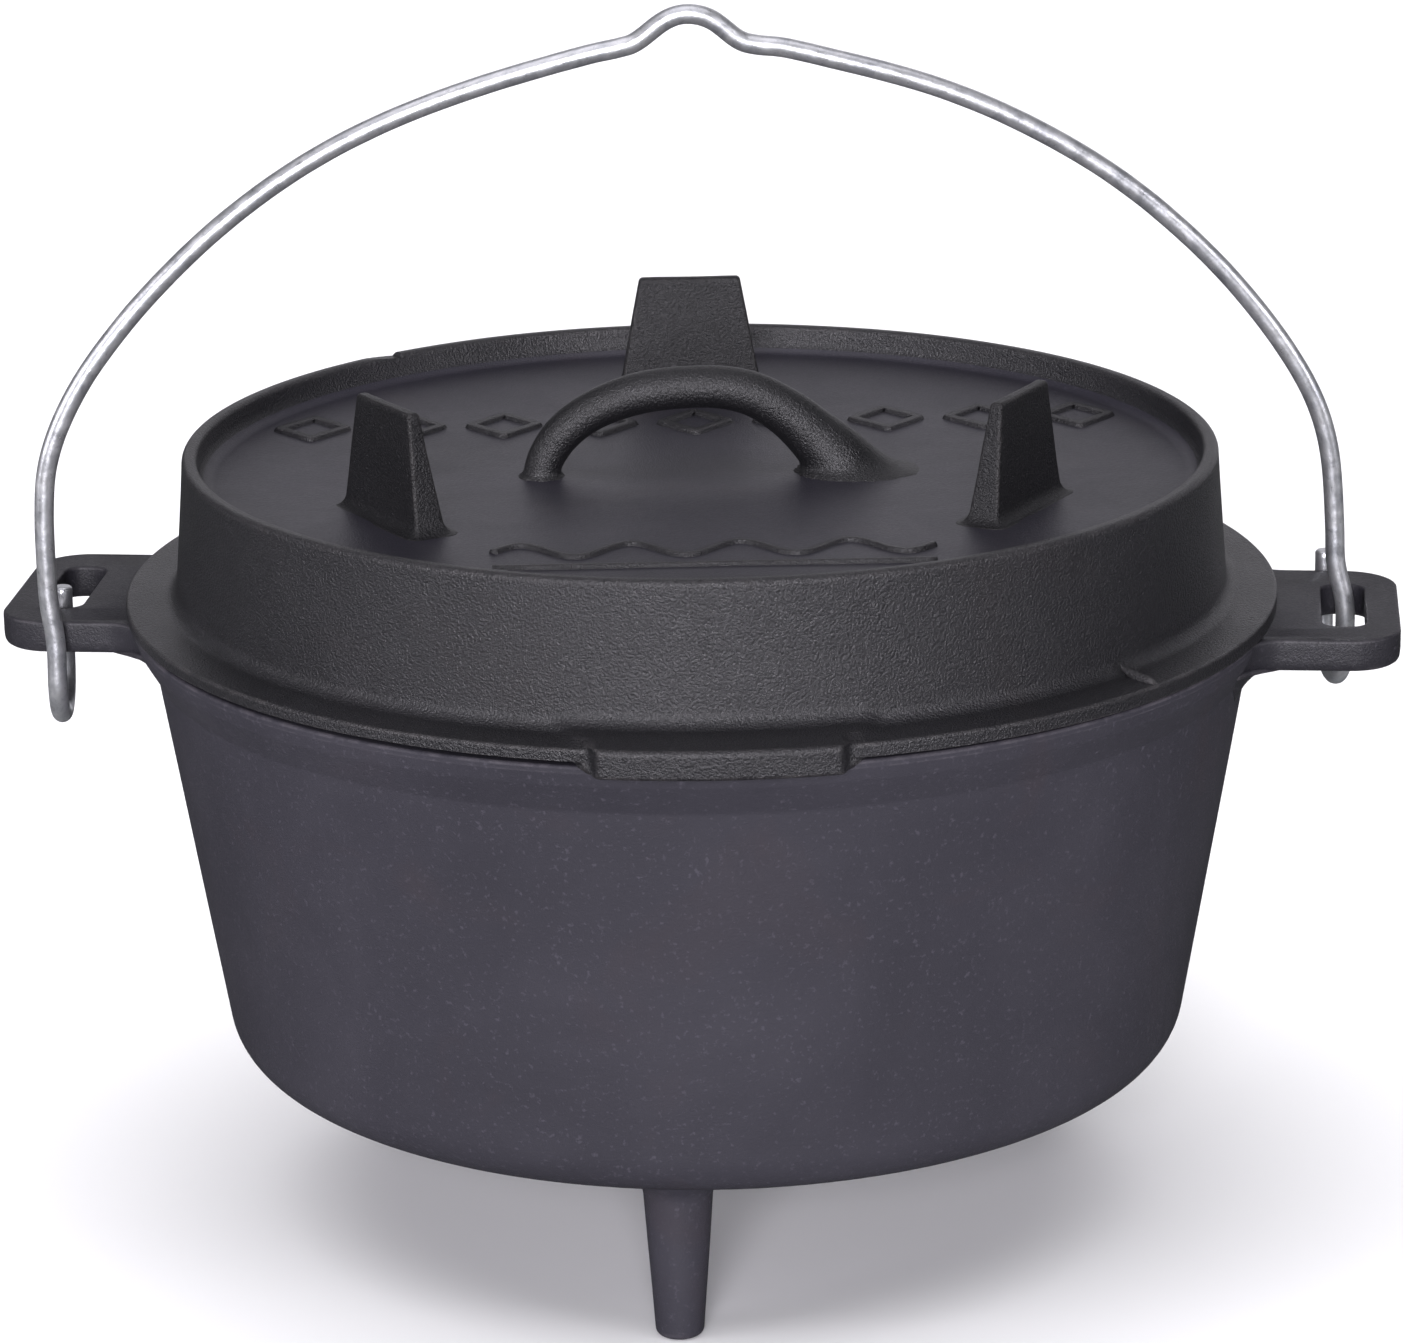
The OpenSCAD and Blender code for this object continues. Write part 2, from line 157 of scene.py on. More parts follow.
def zinc(name):
    """Galvanised wire: bright, with grey spangle, dull stains and small knocks."""
    m = bpy.data.materials.new(name)
    m.use_nodes = True
    nodes, links = m.node_tree.nodes, m.node_tree.links
    nodes.clear()
    out = nodes.new("ShaderNodeOutputMaterial")
    bsdf = nodes.new("ShaderNodeBsdfPrincipled")
    links.new(bsdf.outputs["BSDF"], out.inputs["Surface"])
    obj = nodes.new("ShaderNodeTexCoord").outputs["Object"]
    blotch = noise_node(nodes, links, obj, 150, 5, 0.65, 0.6)
    base = ramp(nodes, links, blotch, [(0.28, (0.50, 0.52, 0.55)), (0.45, (0.70, 0.715, 0.735)), (0.60, (0.84, 0.85, 0.86)), (0.78, (0.62, 0.64, 0.665))])
    stain = noise_node(nodes, links, obj, 620, 3, 0.6)
    stain_fac = ramp(nodes, links, stain, [(0.60, grey(0)), (0.76, grey(0.42))])
    mix = nodes.new("ShaderNodeMix")
    mix.data_type = "RGBA"
    mix.inputs[7].default_value = (0.17, 0.175, 0.19, 1)
    links.new(stain_fac, mix.inputs[0])
    links.new(base, mix.inputs[6])
    links.new(mix.outputs[2], bsdf.inputs["Base Color"])
    bsdf.inputs["Metallic"].default_value = 0.88
    dull = noise_node(nodes, links, obj, 330, 4, 0.6)
    spread = nodes.new("ShaderNodeMapRange")
    spread.inputs["From Min"].default_value = 0.3
    spread.inputs["From Max"].default_value = 0.7
    spread.inputs["To Min"].default_value = 0.27
    spread.inputs["To Max"].default_value = 0.45
    links.new(dull, spread.inputs["Value"])
    links.new(spread.outputs["Result"], bsdf.inputs["Roughness"])
    dent = noise_node(nodes, links, obj, 260, 3, 0.55)
    n1 = bump_node(nodes, links, dent, 0.16, 0.0006)
    knock = noise_node(nodes, links, obj, 1300, 2, 0.5)
    n2 = bump_node(nodes, links, knock, 0.30, 0.00012, n1)
    links.new(n2, bsdf.inputs["Normal"])
    return m


POT_IRON = iron("pot_wall_iron", (0.0245, 0.0232, 0.0312), (0.0285, 0.0270, 0.0360), (0.0335, 0.0317, 0.0415),
                (0.56, 0.70), 0.45, 0.30, 0.40, specular=0.34)
EAR_IRON = iron("ear_iron", (0.013, 0.0124, 0.0164), (0.017, 0.0162, 0.0210), (0.023, 0.0220, 0.0280),
                (0.42, 0.58), 0.55, 0.40, 0.40)
LID_IRON = iron("lid_grained_iron", (0.0078, 0.0075, 0.0092), (0.0100, 0.0096, 0.0115), (0.0145, 0.0139, 0.0163),
                (0.27, 0.38), 1.0, 1.0, 0.35, specular=0.72)
PLATE_IRON = iron("lid_plate_iron", (0.021, 0.0197, 0.0276), (0.026, 0.0244, 0.0336), (0.032, 0.0300, 0.0405),
                  (0.34, 0.46), 0.55, 0.30, 0.25, specular=0.55)
FOOT_IRON = iron("foot_iron", (0.0050, 0.0048, 0.0057), (0.0070, 0.0068, 0.0079), (0.0105, 0.0102, 0.0116),
                 (0.30, 0.44), 1.0, 1.0, 0.4, specular=0.45)
LOOP_IRON = iron("loop_iron", (0.0055, 0.0053, 0.0063), (0.0078, 0.0076, 0.0086), (0.0115, 0.0112, 0.0126),
                 (0.28, 0.40), 0.9, 0.8, 0.35, specular=0.58)
ZINC = zinc("galvanised_wire")


# ---------------------------------------------------------------- mesh helpers
def mark_edges(me):
    """Writes how sharply convex each vertex is, from 0 to 1, for the rubbed edges in the materials."""
    n = len(me.vertices)
    co, normals = np.empty(n * 3), np.empty(n * 3)
    me.vertices.foreach_get("co", co)
    me.vertices.foreach_get("normal", normals)
    co, normals = co.reshape(-1, 3) / MM, normals.reshape(-1, 3)
    ends = np.empty(len(me.edges) * 2, dtype=np.int64)
    me.edges.foreach_get("vertices", ends)
    i, j = ends.reshape(-1, 2).T
    d = co[j] - co[i]
    length = np.maximum(np.linalg.norm(d, axis=1), 0.05)
    total, count = np.zeros(n), np.zeros(n)
    for a, b, sign in ((i, j, -1), (j, i, 1)):
        np.add.at(total, a, sign * np.einsum("ij,ij->i", normals[a], d) / length ** 2)
        np.add.at(count, a, 1)
    worn = np.clip((total / np.maximum(count, 1) - 0.06) / 0.20, 0, 1)
    me.attributes.new("worn", "FLOAT", "POINT").data.foreach_set("value", worn.astype(np.float32))


def finish_piece(name, verts, faces, mats, body, nodes, face_mats=None, wear=None):
    me = bpy.data.meshes.new(name)
    me.from_pydata([tuple(float(c) * MM for c in v) for v in verts], [], [tuple(f) for f in faces])
    for m in mats:
        me.materials.append(m)
    if face_mats is not None:
        me.polygons.foreach_set("material_index", face_mats)
    bm = bmesh.new()
    bm.from_mesh(me)
    bmesh.ops.recalc_face_normals(bm, faces=bm.faces)
    bm.to_mesh(me)
    bm.free()
    me.update()
    if wear:
        # unevenness of a sand casting, always inwards, so that the size stays the CAD's
        amp, scale, seed = wear
        n = len(me.vertices)
        normals = np.empty(n * 3)
        me.vertices.foreach_get("normal", normals)
        co = np.empty(n * 3)
        me.vertices.foreach_get("co", co)
        co, normals = co.reshape(-1, 3), normals.reshape(-1, 3)
        d = np.array([noise.noise(Vector((c[0] * scale + seed, c[1] * scale, c[2] * scale))) for c in co])
        d = np.clip(0.5 + 0.5 * d, 0, 1)
        co -= normals * (d * amp * MM)[:, None]
        me.vertices.foreach_set("co", co.ravel())
        me.update()
    me.polygons.foreach_set("use_smooth", [True] * len(me.polygons))
    mark_edges(me)
    ob = bpy.data.objects.new(name, me)
    bpy.context.scene.collection.objects.link(ob)
    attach(ob, body)
    if nodes:
        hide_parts(*nodes)
    return ob


def straight_divs(corners, step):
    """How many parts each straight of a rounded line is cut into."""
    return [max(1, int(math.hypot(b[0] - a[0], b[1] - a[1]) / step)) for a, b in zip(corners, corners[1:])]


def rounded(corners, divs):
    """A line through (x, y, radius, steps) corners, each rounded by its radius, the straights cut as divs says.
    Next to each rounding the straight has a close row of points, so that flat stays flat when shaded smooth."""
    P = [np.array(c[:2], float) for c in corners]
    arcs = []
    for i, c in enumerate(corners):
        if i in (0, len(corners) - 1):
            arcs.append([P[i]])
            continue
        a, b = P[i - 1] - P[i], P[i + 1] - P[i]
        la, lb = np.linalg.norm(a), np.linalg.norm(b)
        a, b = a / la, b / lb
        half = math.acos(float(np.clip(a @ b, -1, 1))) / 2
        steps = c[3]
        t = min(c[2] / max(math.tan(half), 1e-6) if half < math.pi / 2 - 1e-4 else 0.4, 0.45 * la, 0.45 * lb)
        s, e = P[i] + a * t, P[i] + b * t
        turn = math.pi - 2 * half
        if turn < 0.02:
            arcs.append([s + (e - s) * k / steps for k in range(steps + 1)])
            continue
        m = (a + b) / np.linalg.norm(a + b)
        centre = P[i] + m * (t / math.cos(half))
        v0, v1 = s - centre, e - centre
        arcs.append([centre + (math.sin((1 - k / steps) * turn) * v0 + math.sin(k / steps * turn) * v1) / math.sin(turn)
                     for k in range(steps + 1)])
    line = list(arcs[0])
    for i in range(1, len(P)):
        s, e = arcs[i - 1][-1], arcs[i][0]
        n = divs[i - 1]
        length = max(np.linalg.norm(e - s), 1e-9)
        g = min(0.3 / length, 0.2)
        line += [s + (e - s) * f for f in [g] + [k / n for k in range(1, n)] + [1 - g]]
        line += arcs[i]
    return np.array(line)


def revolve(line, angles, axis_first, axis_last):
    """line is (rows, 2) or (columns, rows, 2) of radius and height; rows on the axis become one vertex."""
    cols = len(angles)
    per = line if line.ndim == 3 else np.repeat(line[None], cols, 0)
    rows = per.shape[1]
    lo, hi = (1 if axis_first else 0), (rows - 1 if axis_last else rows)
    verts, faces = [], []
    for i in range(lo, hi):
        for j, a in enumerate(angles):
            r, z = per[j, i]
            verts.append((r * math.cos(a), r * math.sin(a), z))
    count = hi - lo
    for i in range(count - 1):
        for j in range(cols):
            k = (j + 1) % cols
            faces.append((i * cols + j, i * cols + k, (i + 1) * cols + k, (i + 1) * cols + j))
    if axis_first:
        verts.append((0, 0, per[0, 0, 1]))
        faces += [(len(verts) - 1, (j + 1) % cols, j) for j in range(cols)]
    if axis_last:
        verts.append((0, 0, per[0, -1, 1]))
        faces += [(len(verts) - 1, (count - 1) * cols + j, (count - 1) * cols + (j + 1) % cols) for j in range(cols)]
    return np.array(verts), faces


def spin(v, angle):
    c, s = math.cos(angle), math.sin(angle)
    v = np.asarray(v, float)
    return np.stack([c * v[..., 0] - s * v[..., 1], s * v[..., 0] + c * v[..., 1], v[..., 2]], -1)


def loft(rings, cap_start=True, cap_end=True):
    """Rings of equally many points, each cap a fan round its middle, with one close ring so that its edge shades clean."""
    n = len(rings[0])
    rings = [np.asarray(r, float) for r in rings]
    if cap_start:
        mid = rings[0].mean(0)
        rings = [mid + (rings[0] - mid) * 0.55] + rings
    if cap_end:
        mid = rings[-1].mean(0)
        rings = rings + [mid + (rings[-1] - mid) * 0.55]
    verts = np.concatenate(rings)
    faces = []
    for i in range(len(rings) - 1):
        for j in range(n):
            k = (j + 1) % n
            faces.append((i * n + j, i * n + k, (i + 1) * n + k, (i + 1) * n + j))
    extra = []
    if cap_start:
        extra.append(rings[0].mean(0))
        c = len(verts)
        faces += [(c, (j + 1) % n, j) for j in range(n)]
    if cap_end:
        extra.append(rings[-1].mean(0))
        c = len(verts) + len(extra) - 1
        b = (len(rings) - 1) * n
        faces += [(c, b + j, b + (j + 1) % n) for j in range(n)]
    if extra:
        verts = np.concatenate([verts, np.array(extra)])
    return verts, faces


def spline(pts, n):
    """Catmull-Rom through pts, n steps to a span."""
    p = np.asarray(pts, float)
    out = []
    for i in range(len(p) - 1):
        a, b, c, d = p[max(i - 1, 0)], p[i], p[i + 1], p[min(i + 2, len(p) - 1)]
        for k in range(n):
            u = k / n
            out.append(0.5 * (2 * b + (c - a) * u + (2 * a - 5 * b + 4 * c - d) * u * u + (3 * b - a - 3 * c + d) * u ** 3))
    out.append(p[-1])
    return np.array(out)


def tube_rings(path, radii, sides, up):
    """Rings round a path; the frame is carried along it without twist."""
    rings = []
    v = np.array(up, float)
    n = len(path)
    for i in range(n):
        t = path[min(i + 1, n - 1)] - path[max(i - 1, 0)]
        t /= np.linalg.norm(t)
        v = v - (v @ t) * t
        v /= np.linalg.norm(v)
        w = np.cross(t, v)
        a = np.linspace(0, 2 * math.pi, sides, endpoint=False)
        rings.append(path[i] + radii[i] * (np.cos(a)[:, None] * v + np.sin(a)[:, None] * w))
    return rings


def root_fillet(h, radius):
    """How far a concave root of that radius stands out from a wall, at height h above the plate."""
    u = np.clip(radius - h, 0, radius)
    return radius - np.sqrt(np.maximum(radius * radius - u * u, 0))


# ---------------------------------------------------------------- pot
def wall_r(z):
    return 122 + 19 * (z - LEG_H) / 117.5


pot_corners = [
    (0, 43, 0, 0), (wall_r(43), 43, 14, 14), (139.3, 147.4, 3.2, 8), (143.9, 155.2, 4, 6), (145, 158.6, 1.6, 3),
    (145, 160.5, 1.0, 5), (133.5, 160.5, 1.2, 5), (133.5, 151.5, 3, 5), (134.1, 146.5, 3, 4),
    (wall_r(48.5) - 4.65, 48.5, 11.4, 12), (0, 48.5, 0, 0)]
pot_line = rounded(pot_corners, straight_divs(pot_corners, 5))
pot_verts, pot_faces = revolve(pot_line, np.linspace(0, 2 * math.pi, 320, endpoint=False), True, True)
finish_piece("pot_casting", pot_verts, pot_faces, [POT_IRON], "pot", ["pot_body"], wear=(0.16, 22, 3.1))

_outer = [p for p in pot_line if p[0] > 118 and p[1] > 60]
_outer = _outer[:max(range(len(_outer)), key=lambda i: _outer[i][1])]


def pot_r(z):
    """The pot's outer radius at a height."""
    zs = [p[1] for p in _outer]
    return float(np.interp(z, zs, [p[0] for p in _outer]))


def arc(cx, cy, r, a0, a1, n):
    a = np.radians(np.linspace(a0, a1, n + 1))
    return [(cx + r * math.cos(t), cy + r * math.sin(t)) for t in a]


def ear_outline(inset, rim):
    """The ear seen from above, drawn in by inset, its root inside the rim band."""
    w, x1, r, b = 32.5 - inset, 177 - inset, max(13 - inset, 1), 10 + inset
    rb = rim - 0.3
    bx = math.sqrt((rb + 10) ** 2 - 42.5 ** 2)
    k = math.degrees(math.atan2(42.5, bx))
    lower = arc(bx, -42.5, b, 180 - k, 90, 12)
    upper = arc(bx, 42.5, b, -90, -180 + k, 12)
    c0, c1 = arc(x1 - r, -w + r, r, -90, 0, 12), arc(x1 - r, w - r, r, 0, 90, 12)

    def side(p, q, n):
        return [(p[0] + (q[0] - p[0]) * i / n, p[1] + (q[1] - p[1]) * i / n) for i in range(1, n)]
    pts = lower + side(lower[-1], c0[0], 5) + c0 + side(c0[-1], c1[0], 10) + c1 + side(c1[-1], upper[0], 5) + upper
    root = [(138.5 * math.cos(a), 138.5 * math.sin(a)) for a in np.radians(np.linspace(k, -k, 17))]
    return pts + root


def slot_outline(grow):
    hx, hy, r = 5.5 + grow, 19 + grow, 4.5 + grow
    x = 163

    def side(p, q, n):
        return [(p[0] + (q[0] - p[0]) * i / n, p[1] + (q[1] - p[1]) * i / n) for i in range(1, n)]
    corners = [arc(x + hx - r, -hy + r, r, -90, 0, 7), arc(x + hx - r, hy - r, r, 0, 90, 7),
               arc(x - hx + r, hy - r, r, 90, 180, 7), arc(x - hx + r, -hy + r, r, 180, 270, 7)]
    pts = []
    for i, c in enumerate(corners):
        pts += c + side(c[-1], corners[(i + 1) % 4][0], 7 if i in (0, 2) else 2)
    return pts


def ear(name, node, turn):
    top, low = RIM_Z - 0.08, RIM_Z - 8.5
    levels = [(top, 1.7), (top, 1.0), (top - 0.05, 0.62), (top - 0.2, 0.28), (top - 0.45, 0.07), (top - 0.9, 0),
              (158, 0), (155.6, 0), (low + 2.4, 0.04), (low + 1.3, 0.2), (low + 0.6, 0.55), (low + 0.15, 1.2),
              (low, 2.0), (low, 2.7)]
    verts, faces = [], []
    outers, slots = [], []
    for z, inset in levels:
        o = ear_outline(inset, pot_r(min(max(z, 150), 158.4)))
        s = slot_outline(min(inset, 1.9) * 0.75)
        outers.append(len(verts))
        verts += [(x, y, z) for x, y in o]
        slots.append(len(verts))
        verts += [(x, y, z) for x, y in s]
    n, m = len(ear_outline(0, 145)), len(slot_outline(0))
    for i in range(len(levels) - 1):
        for j in range(n):
            k = (j + 1) % n
            faces.append((outers[i] + j, outers[i + 1] + j, outers[i + 1] + k, outers[i] + k))
        for j in range(m):
            k = (j + 1) % m
            faces.append((slots[i] + j, slots[i] + k, slots[i + 1] + k, slots[i + 1] + j))
    for i in (0, len(levels) - 1):
        ring = [Vector(verts[outers[i] + j]) for j in range(n)]
        hole = [Vector(verts[slots[i] + j]) for j in range(m)][::-1]
        index = [outers[i] + j for j in range(n)] + [slots[i] + j for j in range(m)][::-1]
        for tri in geometry.tessellate_polygon([ring, hole]):
            faces.append(tuple(index[t] for t in tri))
    verts, faces = ear_root(verts, faces)
    return finish_piece(name, spin(np.array(verts), turn), faces, [EAR_IRON], "pot", [node], wear=(0.14, 45, 7.7 + turn))


def ear_root(verts, faces):
    """The concave fillet under an ear, where it runs down into the pot's band, as a closed strip."""
    rings, low = [], RIM_Z - 8.5
    for deg in np.linspace(-16.4, 16.4, 67):
        R = float(np.interp(abs(deg), [0, 10.3, 12.0, 13.4, 15.0, 16.4], [11.0, 10.4, 7.8, 4.6, 1.7, 0.5]))
        rw = pot_r(low)
        A, C, B = np.array([rw + R, low + 0.06]), np.array([rw, low]), np.array([pot_r(low - R) - 0.12, low - R])
        t = np.linspace(0, 1, 13)[:, None]
        line = (1 - t) ** 2 * A + 2 * t * (1 - t) * C + t * t * B
        line = np.vstack([line, [[rw - 3.0, low - R * 0.4], [rw - 3.0, low + 1.3], [rw + R * 0.5, low + 1.3]]])
        a = math.radians(deg)
        rings.append([(r * math.cos(a), r * math.sin(a), z) for r, z in line])
    v, f = loft(rings)
    base = len(verts)
    return list(verts) + [tuple(p) for p in v], faces + [tuple(i + base for i in q) for q in f]


ear("ear_right", "right_ear", 0)
ear("ear_left", "left_ear", math.pi)


def leg(name, node, angle):
    """A turned-looking tapered leg: rounded tip, straight taper, and a root that runs out into the pot's bottom."""
    corners = [(0, 0, 0, 0), (5.95, 0.0, 1.9, 7), (8.75, 39.0, 6.0, 6), (12.2, 43.35, 0, 0)]
    line = rounded(corners, [3, 9, 3])
    verts, faces = revolve(line, np.linspace(0, 2 * math.pi, 64, endpoint=False), True, False)
    verts = verts + np.array([100, 0, 0])
    ob = finish_piece(name, spin(verts, math.radians(angle + 1.2)), faces, [POT_IRON], "pot", [node], wear=(0.12, 60, angle * 0.1))
    return ob


leg("leg_front", "front_leg", -90)
leg("leg_right", "right_leg", 30)
leg("leg_left", "left_leg", 150)

# ---------------------------------------------------------------- lid
lid_base = [
    (0, TRAY_Z, 0, 0), (126.0, TRAY_Z, 5.5, 10), (127.2, LID_Z, 1.5, 6), (131, LID_Z, 1.7, 7), (131.6, 192.5, 12, 4),
    (133.7, 165.6, 6.3, 11), (140.8, 165.35, 3, 3), (146.4, 165.0, 0.9, 5), (146.4, 160.95, 0.7, 4),
    (145.95, 160.95, 0.1, 2), (145.85, 160.95, 0.1, 2), (141.4, 160.9, 0.3, 2), (141.2, 160.5, 0.2, 2),
    (131.9, 160.5, 0.3, 2), (131.6, 156.9, 0.8, 4), (128.4, 156.9, 0.8, 4), (128.1, 161, 1.5, 3),
    (126.6, 189.3, 9, 9), (0, 189.3, 0, 0)]
lid_lug = list(lid_base)
lid_lug[5] = (133.7, 166.9, 5, 11)
lid_lug[6] = (141.5, 166.7, 3, 3)
lid_lug[7] = (151.0, 166.3, 1.5, 5)
lid_lug[8] = (150.75, 159.0, 1.0, 4)
lid_lug[9] = (146.2, 159.0, 0.3, 2)
lid_lug[10] = (146.0, 160.9, 0.2, 2)
lid_divs = straight_divs(lid_base, 4)
lid_divs[0], lid_divs[-1] = 22, 22
lid_line, lug_line = rounded(lid_base, lid_divs), rounded(lid_lug, lid_divs)
# angles in the lid's own frame, close together round the lug and the ground place on the rim
LUG_A, CUT_0, CUT_1 = math.radians(-90), math.radians(134.2 - 1.44), math.radians(129.35 - 1.44)


def lid_angles():
    a, out = -math.pi, []
    while a < math.pi - 1e-6:
        out.append(a)
        near = abs(a - LUG_A) < math.radians(19)
        cut = abs(a - CUT_1) < math.radians(1.2)
        a += math.radians(0.3 if near else 0.12 if cut else 1.0)
    return np.array(out)


def smooth_step(x):
    x = np.clip(x, 0, 1)
    return x * x * (3 - 2 * x)


angles = lid_angles()
lid_rows = np.empty((len(angles), len(lid_line), 2))
reach = np.clip((151 - lug_line[:, 0]) / 16, 0, 1)
half = np.radians(11.3 + 4.6 * reach)
edge = np.radians(1.5 + 0.9 * reach)
affected = (lid_line[:, 0] > 128.5) & (lid_line[:, 1] < 178)
for j, a in enumerate(angles):
    off = abs((a - LUG_A + math.pi) % (2 * math.pi) - math.pi)
    w = np.where(affected, smooth_step((half + edge / 2 - off) / edge), 0.0)
    p = lid_line * (1 - w[:, None]) + lug_line * w[:, None]
    # the lid doesn't sit quite down on its left: a gap shows under the flange there
    rise = 1.05 * (0.5 + 0.5 * math.cos(a - math.radians(-150))) ** 1.5 * (1 - w)
    under = (p[:, 0] > 141.25) & (p[:, 1] > 160.6) & (p[:, 1] < 162.4)
    p[under, 1] += rise[under]
    # the rim was ground down a little at one place, with a sharp end to it
    if CUT_1 - math.radians(0.25) <= a <= CUT_0:
        f = (CUT_0 - a) / (CUT_0 - CUT_1)
        f = min(f, 1) * smooth_step((a - (CUT_1 - math.radians(0.25))) / math.radians(0.25))
        top = p[:, 1] > LID_Z - 2.2
        p[top, 1] = np.minimum(p[top, 1], LID_Z - 1.15 * f)
    lid_rows[j] = p
lid_verts, lid_faces = revolve(lid_rows, angles, True, True)
# the plate's own skin is smoother than the wall's
lid_verts = spin(lid_verts, LID_TURN)
mats = []
for f in lid_faces:
    c = np.mean([lid_verts[i] for i in f], 0)
    r = math.hypot(c[0], c[1])
    mats.append(1 if (r < 125.6 and c[2] > TRAY_Z - 1) or c[2] < 193 and r < 133.4 and c[2] > 157 and not (c[2] < 178 and r > 131) and r < 127.5 else 0)
finish_piece("lid_casting", lid_verts, lid_faces, [LID_IRON, PLATE_IRON], "lid",
             ["lid_plate", "lid_wall", "front_lug"], face_mats=mats, wear=(0.16, 24, 11.3))


def rounded_box(u0, u1, v, r, grow):
    """A rectangle from u0 to u1 and -v to v, grown outwards by grow, with rounded corners: points (u, v)."""
    r = r + grow
    u0, u1, v = u0 - grow, u1 + grow, v + grow
    r = min(r, (u1 - u0) / 2 - 0.02, v - 0.02)
    n = 6
    cs = [arc(u1 - r, -v + r, r, -90, 0, n), arc(u1 - r, v - r, r, 0, 90, n), arc(u0 + r, v - r, r, 90, 180, n), arc(u0 + r, -v + r, r, 180, 270, n)]
    pts = []
    for i, c in enumerate(cs):
        q = cs[(i + 1) % 4][0]
        m = 10 if i in (0, 2) else 3
        pts += c + [(c[-1][0] + (q[0] - c[-1][0]) * k / m, c[-1][1] + (q[1] - c[-1][1]) * k / m) for k in range(1, m)]
    return np.array(pts)


def foot(name, node, angle, seed):
    """A trivet foot: a blade across the radius that tapers upwards, with a filleted root and softened edges."""
    rings = []
    H, R = 29.5, 3.0
    heights = [-0.25, 0, 0.12, 0.3, 0.6, 1.0, 1.5, 2.1, 3.0] + list(np.linspace(4.4, H - 1.6, 14)) + [H - 0.9]
    for h in heights:
        f = h / H
        g = float(root_fillet(max(h, 0.0), R)) if h < R else 0.0
        p = rounded_box(84 + 3.6 * f, 92.45 - 1.5 * f, 19 - 5.5 * f, 0.95, g)
        rings.append(np.column_stack([p, np.full(len(p), TRAY_Z + h)]))
    for h, g in ((H - 0.55, -0.1), (H - 0.25, -0.32), (H - 0.07, -0.62), (H, -1.0)):
        f = h / H
        p = rounded_box(84 + 3.6 * f, 92.45 - 1.5 * f, 19 - 5.5 * f, 1.15, g)
        rings.append(np.column_stack([p, np.full(len(p), TRAY_Z + h)]))
    verts, faces = loft(rings)
    return finish_piece(name, spin(verts, math.radians(angle) + LID_TURN), faces, [FOOT_IRON], "lid", [node], wear=(0.28, 110, seed))


foot("foot_rear", "rear_foot", 90, 2.2)
foot("foot_left", "left_foot", 210, 5.9)
foot("foot_right", "right_foot", -30, 8.4)

# the loop: a bar that leans over to its right, slim at the left root and run out wide at the right one
loop_pts = [(-41, -6), (-40.3, 0), (-38.5, 5.5), (-34, 11.5), (-26.5, 16.8), (-15, 20.9), (0, 22.3), (12, 20.6),
            (21.5, 15.4), (29, 8.8), (34.5, 2.5), (37, -4)]
loop_rad = [4.9, 4.8, 4.8, 5, 5.1, 5.4, 5.5, 5.7, 6.2, 7.2, 9, 11]
path = spline([(x, -5, z) for x, z in loop_pts], 9)
rads = spline([(r, 0, 0) for r in loop_rad], 9)[:, 0]
rings = tube_rings(path, rads, 36, (0, 1, 0))
loop_verts, loop_faces = loft(rings)
near_end = loop_verts[:, 0] > 0
d = loop_verts[:, :2] - np.where(near_end[:, None], np.array([[35.5, -5.0]]), np.array([[-40.2, -5.0]]))
d /= np.maximum(np.linalg.norm(d, axis=1), 1e-6)[:, None]
root_r = np.where(near_end, 3.0 + 6.5 * np.clip(d[:, 0], 0, 1) ** 2, 1.6)
push = root_fillet(np.maximum(loop_verts[:, 2], 0), root_r) * (loop_verts[:, 2] < root_r)
loop_verts[:, :2] += d * push[:, None]
# under the crown the bar is a little flat, where the mould halves met
loop_verts[:, 2] = np.maximum(loop_verts[:, 2], -2.2) + TRAY_Z
finish_piece("loop_bar", spin(loop_verts, LID_TURN), loop_faces, [LOOP_IRON], "lid", ["loop_handle"], wear=(0.2, 120, 4.4))


def ridge(lines, closed, half_w, height, z0):
    """Raised moulding with sloping, rounded flanks along flat lines of points."""
    section = [(-half_w - 0.35, -0.15), (-half_w - 0.1, 0.02), (-half_w + 0.12, height * 0.55), (-half_w + 0.34, height * 0.9),
               (-half_w * 0.25, height), (half_w * 0.25, height), (half_w - 0.34, height * 0.9), (half_w - 0.12, height * 0.55),
               (half_w + 0.1, 0.02), (half_w + 0.35, -0.15)]
    verts, faces = [], []
    for pts in lines:
        p = np.asarray(pts, float)
        n = len(p)
        base = len(verts)
        for i in range(n):
            a = p[(i - 1) % n] if closed else p[max(i - 1, 0)]
            b = p[(i + 1) % n] if closed else p[min(i + 1, n - 1)]
            d0, d1 = p[i] - a, b - p[i]
            if np.linalg.norm(d0) < 1e-9:
                d0 = d1
            if np.linalg.norm(d1) < 1e-9:
                d1 = d0
            d0, d1 = d0 / np.linalg.norm(d0), d1 / np.linalg.norm(d1)
            n0, n1 = np.array([-d0[1], d0[0]]), np.array([-d1[1], d1[0]])
            m = n0 + n1
            m /= max(np.linalg.norm(m), 1e-6)
            stretch = min(1 / max(m @ n0, 0.3), 2.2)
            for s, h in section:
                q = p[i] + m * s * stretch
                verts.append((q[0], q[1], z0 + h))
        k = len(section)
        for i in range(n if closed else n - 1):
            i2 = (i + 1) % n
            for j in range(k):
                j2 = (j + 1) % k
                faces.append((base + i * k + j, base + i2 * k + j, base + i2 * k + j2, base + i * k + j2))
        if not closed:
            faces.append(tuple(base + j for j in range(k)))
            faces.append(tuple(base + (n - 1) * k + j for j in range(k))[::-1])
    return np.array(verts), faces


